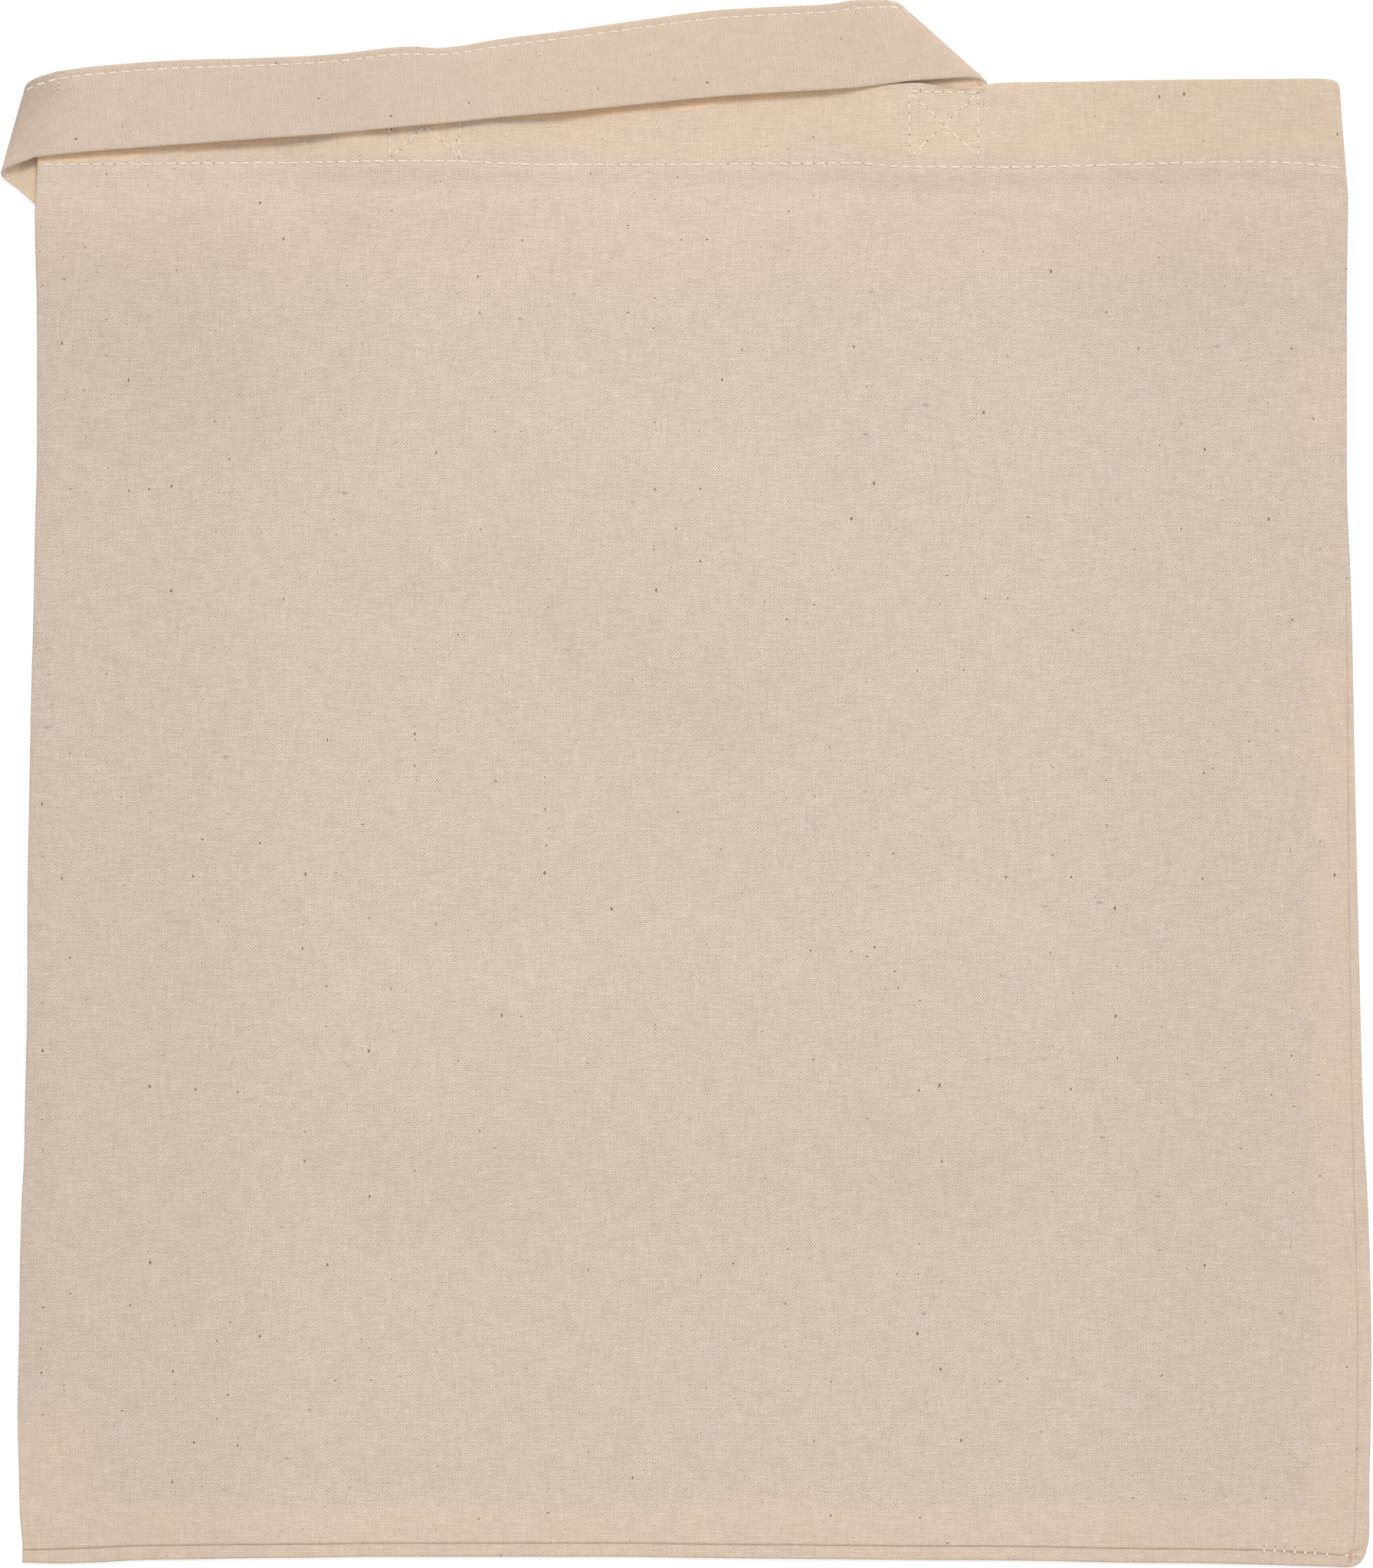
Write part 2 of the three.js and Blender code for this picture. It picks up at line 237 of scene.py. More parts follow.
# The stitched boxes: their sides, top and diagonals, each as two ends.
BOXES = [
    [
        ((left, top), (left + 0.2, bottom)),
        ((right, top - 0.5), (right + 0.1, bottom - 0.4)),
        ((left, top), (right, top - 0.5)),
        ((left + 0.4, top - 0.5), (right, bottom)),
        ((right - 0.5, top - 0.9), (left + 0.5, bottom + 0.1)),
    ]
    for left, right, top, bottom in ((-84.4, -64.6, 196.6, 178), (63.2, 82.8, 196.8, 178.2))
]

# Soft ridges (height above 0) and troughs on the front.
# (from x, from y, to x, to y, width, height)
CREASES = [
    (-176, 172, -120, 96, 7, -0.15),
    (-158, 174, -112, 118, 6, 0.14),
    (-132, 172, -96, 132, 5, -0.11),
    (-186, 150, -150, 60, 9, 0.13),
    (-112, 174, -101, 140, 4, -0.10),
    (-60, 172, -44, 146, 4, 0.08),
    (58, 174, 42, 150, 4, -0.08),
    (91, 174, 104, 148, 4, 0.10),
    (88, 196, 60, 200, 2.2, 0.35),
    (-140, 20, -90, -110, 16, 0.13),
    (-40, 40, 36, -60, 20, 0.11),
    (60, -20, 130, -150, 18, -0.11),
    (120, 150, 172, 20, 16, 0.11),
    (-120, -150, -40, -206, 12, 0.10),
    (20, -120, 120, -206, 14, 0.10),
    (165, -170, 183, -214, 4, 0.11),
    (-184, -205, -120, -212, 4, 0.08),
]


def crease_relief(x, y):
    relief = np.zeros(np.broadcast(x, y).shape)
    for x0, y0, x1, y1, width, height in CREASES:
        relief += height * bump(across_line(x, y, (x0, y0), (x1, y1)), width)
    return relief


def box_relief(x, y):
    """The stitched boxes pull the cloth in along their lines and puff it between them."""
    relief = np.zeros(np.broadcast(x, y).shape)
    for lines in BOXES:
        corners = np.array([line[0] for line in lines[:2]] + [line[1] for line in lines[:2]])
        low, high = corners.min(axis=0), corners.max(axis=0)
        inside = ease(x, low[0] - 1, low[0] + 2) * ease(x, high[0] + 1, high[0] - 2)
        inside = inside * ease(y, low[1] - 1, low[1] + 2) * ease(y, high[1] + 1, high[1] - 2)
        pulled = max_of(bump(across_line(x, y, *line), 0.9) for line in lines)
        relief += 0.1 * inside - 0.17 * pulled
    return relief


def uneven(x, y, size, seed):
    """Smooth noise from about -1 to 1, for arrays of places."""
    x, y = np.broadcast_arrays(x, y)
    flat = [noise.noise((a / size, b / size, seed)) for a, b in zip(x.ravel(), y.ravel())]
    return 1.6 * np.array(flat).reshape(x.shape)


# Short creases that fan out from the corner where the seams meet, and one under the mouth.
# (start, end, width, depth)
FINE_CREASES = [
    ((189.8, -218.6), (192.6, -217.6), 0.3, 0.45),
    ((189.2, -218.6), (188.9, -221.6), 0.3, 0.45),
    ((186.6, -219.9), (189.6, -218.7), 0.25, 0.3),
    ((190.6, -219.4), (192.4, -221), 0.5, -0.3),
    ((70.7, 197.7), (85.4, 197.0), 0.3, 0.35),
]


def seam_lines(x, y):
    """1 along the bottom's and along the right side's seam line, 0 a little way off."""
    past_bottom, past_right = past_seams(x, y)
    bottom = bump(past_bottom, 0.21) * ease(x, 187.5, 185.5)
    right = bump(past_right, 0.21) * ease(y, 72, 30) * ease(y, -219.5, -217.5)
    return bottom, right


def painted_seam_shade(x, y):
    """How deep in a seam or crease the cloth is, from 0 to 1, which sets how much painted shade it
    gets.
    """
    bottom, right = seam_lines(x, y)
    fine = [
        bump(across_line(x, y, start, end), width) * min(depth * 2, 1)
        for start, end, width, depth in FINE_CREASES if depth > 0
    ]
    return max_of([bottom, 0.35 * right, *fine])


def seam_relief(x, y):
    """Grooves along the two seam lines, and the rolled cloth a little lower past them."""
    past_bottom, past_right = past_seams(x, y)
    gathers = 1 + 0.3 * np.cos(2 * math.pi * x / 3)
    bottom, right = seam_lines(x, y)
    starts = ease(y, 72, 30) * ease(y, -219.5, -216.5)
    rolled = 0.22 * np.maximum(ease(past_bottom, 0.3, -0.6), starts * ease(past_right, 0.3, -0.6))
    fine = sum(
        depth * bump(across_line(x, y, start, end), width)
        for start, end, width, depth in FINE_CREASES
    )
    return -np.maximum(0.36 * gathers * bottom, 0.34 * right) - rolled - fine


def front_relief(x, y):
    stitches = 0.1 * bump(y - hem_stitches(x), 0.9)
    return (
        crease_relief(x, y) + box_relief(x, y) + seam_relief(x, y) - stitches
        + 0.05 * uneven(x, y, 46, 3) + 0.02 * uneven(x, y, 11, 8)
    )


# -------------------- mesh making


def add_to_scene(name, data):
    made = bpy.data.objects.new(name, data)
    bpy.context.scene.collection.objects.link(made)
    return made


def between_rings(ring, above):
    """Faces (a, b, c, d) round a tube: a and b on the ring, c and d on the one above."""
    return zip(ring, ring[1:] + ring[:1], above[1:] + above[:1], above)


def make_object(name, vertices, faces, material, uv=None):
    """A smooth-shaded mesh object from vertices in mm. uv is one (u, v) in mm for a vertex."""
    mesh = bpy.data.meshes.new(name)
    mesh.from_pydata((np.asarray(vertices) * MM).tolist(), [], [list(map(int, f)) for f in faces])
    mesh.polygons.foreach_set("use_smooth", [True] * len(mesh.polygons))
    if uv is not None:
        corners = np.empty(len(mesh.loops), int)
        mesh.loops.foreach_get("vertex_index", corners)
        layer = mesh.uv_layers.new(name="cloth")
        layer.data.foreach_set("uv", np.asarray(uv, float)[corners].ravel())
    mesh.update()
    mesh.materials.append(material)
    return add_to_scene(name, mesh)


# -------------------- the body

ROUND = 1 - np.cos(np.linspace(0, math.pi / 2, 7))


def spaced(start, end, fine_spots, fine, coarse, reach):
    """Places from start to end, `fine` apart near the fine spots and `coarse` apart elsewhere."""
    places = [start]
    while places[-1] < end:
        near = min(abs(places[-1] + fine - spot) for spot in fine_spots)
        places.append(places[-1] + (fine if near < reach else coarse))
    places = np.array(places)
    return start + (places - start) * (end - start) / (places[-1] - start)


# Shares of the way from the left side to the seam line, dense at the stitched boxes.
WEST, EAST = -177, 180
COLUMNS = spaced(WEST, EAST, (LEFT_END, RIGHT_END), fine=0.9, coarse=3.9, reach=15)
COLUMN_SHARES = (COLUMNS - WEST) / (EAST - WEST)


def column_places(y, depth):
    """x of every column, for a surface `depth` inside the outer skin. y is one per column."""
    turn = EDGE_RADIUS - depth
    dense = 8.0  # within this of the left side the columns are dense
    near = np.array([7, 5, 3.6, 2.6, 1.8, 1.2, 0.8, 0.5, 0.25])
    past = np.array([0, 0.08, 0.18, 0.32, 0.5, 0.75, 1])
    # Each column: shares of the left side, the seam line and the right side, and an offset.
    left = [(1, 0, 0, depth + turn * r) for r in ROUND]
    left += [(1, 0, 0, o) for o in np.linspace(SKIN + 0.3, dense, 5)[:-1]]
    middle = [(1 - s, s, 0, dense - (dense + near[0]) * s) for s in COLUMN_SHARES[:-1]]
    middle += [(0, 1, 0, -o) for o in near]
    right = [(0, 1 - s, s, -s * (SKIN + 0.05)) for s in past]
    right += [(0, 0, 1, -depth - turn * r) for r in ROUND[::-1]]
    left_share, seam_share, right_share, offset = np.array(left + middle + right).T
    seam = seam_share * right_seam(y)
    return left_share * left_side(y) + seam + right_share * right_side(y) + offset


def body_rows():
    """The rows of the cloth, from the bottom edge outside, over the hem, to the bottom inside.

    A row is (y as a function of x, depth inside the outer skin).
    """
    def anchored(place, offset):
        return lambda x: place(x) + offset

    def between(low, high, share):
        return lambda x: (1 - share) * low(x) + share * high(x)

    def skin_rows(depth):
        radius = EDGE_RADIUS - depth
        low = anchored(bottom_edge, SKIN)
        body_low = anchored(bottom_seam, 7)
        body_high = anchored(hem_stitches, -5)
        hem_low = anchored(hem_stitches, 3)
        hem_high = anchored(mouth_edge, -HEM_TURN)
        places = [anchored(bottom_edge, depth + radius * r) for r in ROUND]
        if depth:  # inside, where nobody looks
            places += [between(bottom_seam, body_low, s) for s in (0.5, 1)]
            places += [between(body_low, body_high, s) for s in np.linspace(0.05, 1, 16)]
            places += [between(hem_low, hem_high, s) for s in np.linspace(0, 1, 8)]
            return [(place, depth) for place in places]
        places += [between(low, bottom_seam, s) for s in (0.1, 0.3, 0.55, 0.75, 0.9)]
        places += [anchored(bottom_seam, o) for o in (0, 0.2, 0.45, 0.8, 1.2, 1.8, 2.6, 3.6, 5)]
        places += [between(body_low, body_high, s) for s in np.linspace(0, 1, 105)]
        places += [
            anchored(hem_stitches, o)
            for o in (-3.9, -3, -2.4, -1.9, -1.5, -1.1, -0.7, -0.35, 0, 0.35, 0.7, 1.2, 2)
        ]
        places += [between(hem_low, hem_high, s) for s in np.linspace(0, 1, 22)]
        return [(place, depth) for place in places]

    def turn_rows(radius, steps):
        angles = np.linspace(0, math.pi, steps + 1)[1:-1]
        return [
            (anchored(mouth_edge, radius * math.sin(a) - HEM_TURN), HEM_TURN - radius * math.cos(a))
            for a in angles
        ]

    def hem_rows(depth):
        low, high = anchored(hem_stitches, -HEM_PAST_STITCH), anchored(mouth_edge, -HEM_TURN)
        shares = [0, 0.05, *np.linspace(0.15, 1, 9)]
        return [(between(low, high, share), depth) for share in shares]

    outside = skin_rows(0) + turn_rows(HEM_TURN, 10) + hem_rows(2 * HEM_TURN)[::-1]
    inside = skin_rows(CLOTH) + turn_rows(AIR / 2, 4) + hem_rows(CLOTH + AIR)[::-1]
    return outside, inside[::-1]


def body_row_points(place, depth):
    """Front and back points of one row."""
    y = float(place(0.0))
    for _ in range(3):
        x = column_places(y, depth)
        y = place(x)
    under, thick = lie(x, y)

    def rounding(distance, reach):
        return np.sqrt(np.clip(1 - (1 - np.clip(distance / reach, 0, 1)) ** 2, 0, 1))

    reach = max(EDGE_RADIUS - depth, 1e-3)
    rise = rounding(x - left_side(y) - depth, reach) * rounding(right_side(y) - x - depth, reach)
    if place(0.0) < 0:
        rise = rise * rounding(y - bottom_edge(x) - depth, reach)
    rise[0] = rise[-1] = 0
    half = np.maximum(thick / 2 - depth, 0.03)
    middle = under + thick / 2
    front = np.stack([x, y, middle + (half + front_relief(x, y)) * rise], axis=1)
    back = np.stack([x, y, middle - half * rise], axis=1)
    return front, back


def build_body(material):
    outside, inside = body_rows()
    rows = outside + inside
    vertices, uvs, rings = [], [], []
    for number, (place, depth) in enumerate(rows):
        front, back = body_row_points(place, depth)
        closes = number in (0, len(rows) - 1)
        if closes:
            front[:, 2] = back[:, 2] = (front[:, 2] + back[:, 2]) / 2
        count = len(front)
        start = len(vertices)
        # Past the hem's turn the cloth's own length goes on upwards.
        in_hem = depth > HEM_TURN
        along = 2 * mouth_edge(front[:, 0]) - front[:, 1] if in_hem else front[:, 1]
        vertices.extend(front)
        uvs.extend(np.stack([front[:, 0], along], axis=1))
        ids = list(range(start, start + count))
        if closes:
            ring = ids + ids[-2:0:-1]
        else:
            vertices.extend(back[1:-1])
            left = left_side(back[1:-1, 1])
            uvs.extend(np.stack([2 * left - back[1:-1, 0], along[1:-1]], axis=1))
            back_ids = list(range(start + count, start + 2 * count - 2))
            ring = ids + back_ids[::-1]
        rings.append(ring)
    faces = [face for pair in zip(rings, rings[1:]) for face in between_rings(*pair)]
    made = make_object("bag_cloth", vertices, faces, material, uvs)
    x, y, z = np.array(vertices).T
    # Painted shade along the seams and creases, kept as a vertex attribute.
    shade = np.where(z > 2 * CLOTH, painted_seam_shade(x, y), 0)  # only on the front
    made.data.attributes.new("seam", "FLOAT", "POINT").data.foreach_set("value", shade)
    return made


# -------------------- handles

# Half the section of a handle: open edge with two lips at the right, fold at the left.
# (distance from the middle line, height above the middle of its thickness)
SECTION = [
    (9.9, 0.03), (10.9, 0.06), (11.05, 0.3), (10.95, 0.55), (10.6, 0.68), (10.0, 0.69),
    (9.4, 0.6), (8.95, 0.53), (8.5, 0.6), (7.8, 0.68), (6, 0.69), (3, 0.7), (0, 0.7),
    (-3, 0.7), (-6, 0.7), (-8.5, 0.69), (-10.1, 0.69), (-10.75, 0.66), (-10.95, 0.5),
    (-11, 0.15),
]


FOLD_STEPS = 14  # sections round a fold
LEG_STEP = 4.0  # between sections along a straight stretch
RUN_STEP = 1.6  # and along the run across the front


def section_loop():
    top = np.array(SECTION)
    return np.concatenate([top, (top * (1, -1))[::-1]])


def unit(vector):
    return vector / np.linalg.norm(vector)


def plain_station(place, before, after, face_up):
    """A section square to the way the band runs, as (place, across, face)."""
    along = unit(np.array([after[0] - before[0], after[1] - before[1], 0.0]))
    face = np.array([0, 0, 1.0 if face_up else -1.0])
    return np.array(place, float), np.cross(along, face), face


def fold_stations(crest, looks, span, low, high, slip, reach, face_up):
    """Sections round a fold from height low to height high.

    The fold's outer edge goes through crest and looks towards that many degrees. span is how
    much of the fold line the band covers. slip is how far the band moves along the fold line
    for each mm that it runs over the fold, before and after the crest, and reach how far the
    bend reaches from its axis.
    """
    angle = math.radians(looks)
    out = np.array([math.cos(angle), math.sin(angle), 0])
    fold = np.array([-out[1], out[0], 0])
    over = np.array([0, 0, math.copysign(1, high - low)])
    radius = abs(high - low) / 2
    outside = 1 if face_up == (low > high) else -1
    across = np.cross(over, out) * outside * span / HANDLE_WIDTH
    middle = np.array([crest[0], crest[1], (low + high) / 2])
    stations = []
    for turn in np.linspace(-math.pi / 2, math.pi / 2, FOLD_STEPS + 1):
        side = slip[0] if turn < 0 else slip[1]
        place = (
            middle
            + out * (reach * (math.cos(turn) - 1) - HANDLE / 2)
            + fold * side * turn * (reach + radius) / 2
            + over * radius * math.sin(turn)
        )
        face = unit(out * radius * math.cos(turn) + over * reach * math.sin(turn))
        stations.append((place, across, face * outside))
    return stations


def leg_stations(rows, face_up):
    """Sections along a straight stretch through (x, y, z) rows, eased between their heights."""
    rows = np.array(rows, float)
    stations = []
    for i, (start, end) in enumerate(zip(rows, rows[1:])):
        count = max(2, int(np.linalg.norm(end - start) / LEG_STEP))
        for share in np.linspace(0, 1, count + 1)[: None if i == len(rows) - 2 else -1]:
            place = start + share * (end - start)
            place[2] = start[2] + ease(share, 0, 1) * (end[2] - start[2])
            stations.append(plain_station(place, start, end, face_up))
    return stations


def band(name, stations, material):
    """A handle through its sections, closed at both ends."""
    loop = section_loop()
    count = len(loop)
    vertices, uvs, faces, ring = [], [], [], []
    places = np.array([place for place, _, _ in stations])
    runs = run_lengths(places)
    for number, (place, across, face) in enumerate(stations):
        before, after = places[max(number - 1, 0)], places[min(number + 1, len(places) - 1)]
        lean = across @ unit(after - before)  # where the section isn't square to the threads
        width = np.where(np.arange(count) < count / 2, loop[:, 0], UNDERSIDE - loop[:, 0])
        below, ring = ring, list(range(len(vertices), len(vertices) + count))
        vertices.extend(place + loop[:, :1] * across + loop[:, 1:] * face)
        uvs.extend(np.stack([width, runs[number] + lean * loop[:, 0]], axis=1))
        faces.extend((b, a, d, c) for a, b, c, d in between_rings(below, ring))
    faces += [range(count), ring[::-1]]
    return make_object(name, vertices, faces, material, uvs), runs[-1]


def end_height(lift, is_front):
    return lift + FOLDED + AIR + HANDLE / 2 + (STACK if is_front else 0)


LOW = HANDLE / 2
HIGH = LOW + STACK
LEFT_LIFT = 2 * STACK
RIGHT_LIFT = STACK


def back_handle_stations():
    left, right, loop = LEFT_END, RIGHT_END, LOOP_BOTTOM
    left_mouth, right_mouth = float(mouth_edge(left)), float(mouth_edge(right))
    left_top, right_top = end_height(LEFT_LIFT, False), end_height(RIGHT_LIFT, False)
    crest = AIR + HANDLE  # past the mouth's edge
    turn = (left_top - HIGH) / 2
    axis = crest - turn - LOW
    corner = HANDLE_WIDTH * math.sqrt(2)
    tight = STACK / 2
    diagonal = HANDLE_WIDTH / 2
    stations = leg_stations(
        [(left, left_mouth - SEWN, left_top), (left, left_mouth + axis, left_top)], True)
    stations += fold_stations(
        (left, left_mouth + crest), 90, HANDLE_WIDTH, left_top, HIGH, (0, 0), turn, True)
    stations += leg_stations([
        (left, left_mouth + axis, HIGH), (left, 86, HIGH), (left, 72, LOW),
        (left, loop + diagonal + 2, LOW)], False)
    stations += fold_stations((left, loop), 225, corner, LOW, HIGH, (1, 1), tight, False)
    stations += leg_stations([
        (left + diagonal + 2, loop, HIGH), (left + 22, loop, HIGH),
        (left + 36, loop, LOW), (right - diagonal - 2, loop, LOW)], True)
    stations += fold_stations((right, loop), 315, corner, LOW, HIGH, (1, 1), tight, True)
    stations += leg_stations([
        (right, loop + diagonal + 2, HIGH), (right, loop + 22, HIGH),
        (right, loop + 36, LOW), (right, right_mouth + axis, LOW)], False)
    stations += fold_stations(
        (right, right_mouth + crest), 90, HANDLE_WIDTH, LOW, right_top, (0, 0),
        (right_top - LOW) / 2, False)
    stations += leg_stations([
        (right, right_mouth + axis, right_top), (right, right_mouth - SEWN, right_top)], True)
    return stations


# The run across the front: its stitched upper edge, its folded lower edge and their heights.
# (upper x, upper y, lower x, lower y, upper z, lower z)
RUN = [
    (-178.6, 203.2, -185.6, 178.6, 5.0, 5.2),
    (-168.0, 204.5, -172.5, 180.0, 5.6, 6.0),
    (-147.0, 206.1, -149.5, 181.8, 5.8, 6.6),
    (-120.0, 206.9, -121.0, 183.9, 6.0, 6.7),
    (-98.3, 208.1, -98.3, 185.5, 8.1, 8.2),
    (-86.0, 209.6, -86.5, 186.7, 10.0, 10.8),
    (-78.6, 210.1, -78.0, 187.5, 10.2, 11.0),
    (-71.0, 209.7, -70.0, 188.2, 9.8, 11.0),
    (-64.0, 210.4, -62.0, 189.0, 9.7, 10.7),
    (-54.6, 212.0, -54.6, 189.8, 8.6, 9.8),
    (-33.8, 214.7, -33.8, 191.6, 6.2, 6.7),
    (-12.9, 217.7, -12.9, 193.7, 4.8, 5.1),
    (8.1, 220.4, 8.1, 195.8, 4.9, 5.1),
    (28.8, 221.6, 29.5, 197.2, 5.2, 5.2),
    (40.0, 222.15, 49.0, 198.5, 6.5, 6.7),
    (47.5, 223.3, 64.5, 200.5, 7.3, 7.4),
]


def run_stations():
    """Sections along the run, smooth through its rows."""
    face = np.array([0, 0, -1.0])
    rows = np.array(RUN)
    middle = (rows[:, :2] + rows[:, 2:4]) / 2
    length = run_lengths(middle)
    columns = [through(zip(length, rows[:, c])) for c in range(6)]
    stations = []
    for at in np.arange(0, length[-1], RUN_STEP):
        ux, uy, lx, ly, uz, lz = (float(column(at)) for column in columns)
        upper, lower = seen(ux, uy, uz), seen(lx, ly, lz)
        stations.append(((upper + lower) / 2, (upper - lower) / HANDLE_WIDTH, face))
    return stations


def seen(x, y, z):
    """The place at height z that the camera sees over (x, y) on the surface."""
    return np.array([x * (1 - z / CAMERA_HEIGHT), y * (1 - z / CAMERA_HEIGHT), z])


def front_handle_stations():
    left, right = LEFT_END, RIGHT_END
    left_mouth, right_mouth = float(mouth_edge(left)), float(mouth_edge(right))
    left_top, right_top = end_height(LEFT_LIFT, True), end_height(RIGHT_LIFT, True)
    turn = (left_top - LOW) / 2
    stations = leg_stations([
        (left, left_mouth - SEWN, left_top), (left, left_mouth - 1, left_top)], True)
    stations += fold_stations(
        (left - 1, left_mouth + 6.4), 105.4, HANDLE_WIDTH * 1.04, left_top, LOW,
        (-0.27, -0.27), turn, True)
    stations += leg_stations([(-67.6, 194.2, LOW), (0.2, 77.8, LOW), (9, 62.8, LOW)], False)
    stations += fold_stations(
        (13.8, 54.4), 315.5, HANDLE_WIDTH * 1.03, LOW, HIGH, (-0.3, -0.3), STACK / 2, False)
    stations += leg_stations([
        (6, 59.4, HIGH), (-34, 84.6, HIGH), (-45.5, 92, LOW), (-164.6, 164.2, LOW),
        (-179.0, 174.0, LOW)], True)
    run = run_stations()
    start, end = run[0][0][2], run[-1][0][2]
    left_fold, right_fold = seen(-192.1, 186.4, 4), seen(73.3, 211.3, 6)
    stations += fold_stations(left_fold, 164.3, 25.9, LOW, start, (-0.45, -0.9), 4.5, True)
    stations += run
    stations += fold_stations(right_fold, 48, 33, end, right_top, (-1.6, -1.05), 4.4, False)
    stations += leg_stations([
        (right + 0.6, right_mouth - 4, right_top), (right, right_mouth - SEWN, right_top)], True)
    return stations


# -------------------- materials


class Nodes:
    """Short ways to add and join shader nodes."""

    def __init__(self, name):
        self.material = bpy.data.materials.new(name)
        self.material.use_nodes = True
        self.tree = self.material.node_tree
        self.bsdf = self.tree.nodes["Principled BSDF"]

    def add(self, kind, inputs=(), **settings):
        node = self.tree.nodes.new("ShaderNode" + kind)
        for key, value in settings.items():
            setattr(node, key, value)
        for key, value in dict(inputs).items():
            self.put(node.inputs[key], value)
        return node

    def put(self, socket, value):
        if isinstance(value, bpy.types.NodeSocket):
            self.tree.links.new(value, socket)
        else:
            socket.default_value = value

    def math(self, operation, a, b=0.0, c=0.0, clamp=False):
        node = self.add("Math", operation=operation, use_clamp=clamp)
        for socket, value in zip(node.inputs, (a, b, c)):
            self.put(socket, value)
        return node.outputs[0]

    def times(self, a, b):
        return self.math("MULTIPLY", a, b)

    def plus(self, a, b):
        return self.math("ADD", a, b)

    def minus(self, a, b):
        return self.math("SUBTRACT", a, b)

    def fit(self, value, low, high, to_low=0.0, to_high=1.0):
        """Maps low..high smoothly to to_low..to_high."""
        node = self.add("MapRange", interpolation_type="SMOOTHSTEP")
        for key, item in zip(range(5), (value, low, high, to_low, to_high)):
            self.put(node.inputs[key], item)
        return node.outputs[0]

    def mix(self, share, a, b, blend="MIX"):
        node = self.add("Mix", data_type="RGBA", blend_type=blend)
        for key, item in ((0, share), (6, a), (7, b)):
            self.put(node.inputs[key], item)
        return node.outputs[2]

    def split(self, vector):
        return self.add("SeparateXYZ", {0: vector}).outputs

    def place(self):
        return self.add("TexCoord").outputs["Object"]

    def noise(self, where, scale, detail=2.0, rough=0.5):
        node = self.add(
            "TexNoise", {"Vector": where, "Scale": scale, "Detail": detail, "Roughness": rough})
        return node.outputs["Fac"]

    def finish(self, tone, roughness, specular):
        self.put(self.bsdf.inputs["Base Color"], tone)
        self.put(self.bsdf.inputs["Roughness"], roughness)
        self.put(self.bsdf.inputs["Specular IOR Level"], specular)
        return self.material

    def emboss(self, height, strength, distance):
        node = self.add("Bump", {"Strength": strength, "Distance": distance, "Height": height})
        self.put(self.bsdf.inputs["Normal"], node.outputs[0])


def colour(red, green, blue):
    """A colour written as screen values from 0 to 255."""

    def linear(value):
        value /= 255
        return value / 12.92 if value <= 0.04045 else ((value + 0.055) / 1.055) ** 2.4

    return (linear(red), linear(green), linear(blue), 1.0)


def weave(n, across_pitch, up_pitch):
    """Plain weave on the cloth's own coordinates: its place, and brightness and height masks."""
    uv = n.add("UVMap", uv_map="cloth").outputs[0]
    u, v, _ = n.split(uv)
    # Threads wander a little.
    wide = n.add("CombineXYZ", {"X": n.times(u, 0.05), "Y": n.times(v, 0.05)})
    drift = n.noise(wide.outputs[0], 3.0, 3)
    shake = n.noise(uv, 0.9, 2)
    u_bent = n.plus(u, n.times(n.plus(drift, shake), 0.55))
    v_bent = n.plus(v, n.times(n.minus(drift, shake), 0.5))
    a = n.times(u_bent, math.pi / across_pitch)
    b = n.times(v_bent, math.pi / up_pitch)
    crossing = n.times(n.math("COSINE", a), n.math("COSINE", b))
    pinholes = n.fit(crossing, 0.1, 0.9)
    between_threads = n.fit(n.math("ABSOLUTE", n.math("COSINE", b)), 0.4, 1.0)
    # Slubs: each thread has its own brightness, which changes slowly along it.
    weft, warp = (
        n.math("FLOOR", n.math("DIVIDE", place, pitch))
        for place, pitch in ((v_bent, up_pitch), (u_bent, across_pitch))
    )

    def slub(thread, along, period):
        own = n.add("TexWhiteNoise", {"W": thread}, noise_dimensions="1D").outputs[0]
        start = n.math("MULTIPLY_ADD", own, 900.0, n.math("DIVIDE", along, period))
        node = n.add("TexNoise", {"W": start, "Scale": 1.0, "Detail": 2.0, "Roughness": 0.7},
                     noise_dimensions="1D")
        return node.outputs[0]

    across_slub = slub(weft, u, 10.0)
    up_slub = slub(warp, v, 12.0)
    bright_thread = n.fit(slub(n.plus(weft, 0.5), u, 5.0), 0.58, 0.7)
    glints = n.times(bright_thread, n.minus(1.0, between_threads))
    patches = n.noise(uv, 0.22, 3, 0.6)
    grain = n.noise(uv, 2.2, 2, 0.6)
    return {
        "uv": uv, "u": u, "pinholes": pinholes, "between": between_threads, "glints": glints,
        "across_slub": across_slub, "up_slub": up_slub, "patches": patches, "grain": grain,
    }


def flecks(n, uv, size, stretch, share, seed):
    """Sparse specks: a mask that is 1 inside them. share is how many cells hold one."""
    placed = n.add("Mapping", {
        "Vector": uv, "Location": (seed, -seed, 0), "Scale": (stretch[0], stretch[1], 1)})
    cells = n.add(
        "TexVoronoi", {"Vector": placed.outputs[0], "Scale": size, "Randomness": 1.0},
        voronoi_dimensions="2D")
    pick = n.add("SeparateColor", {0: cells.outputs["Color"]}).outputs
    reach = n.math("MULTIPLY_ADD", n.math("POWER", pick[1], 3.0), 0.035, 0.014)
    spot = n.fit(cells.outputs["Distance"], n.plus(reach, 0.014), reach)
    chosen = n.math("LESS_THAN", pick[0], share)
    return n.times(spot, chosen)


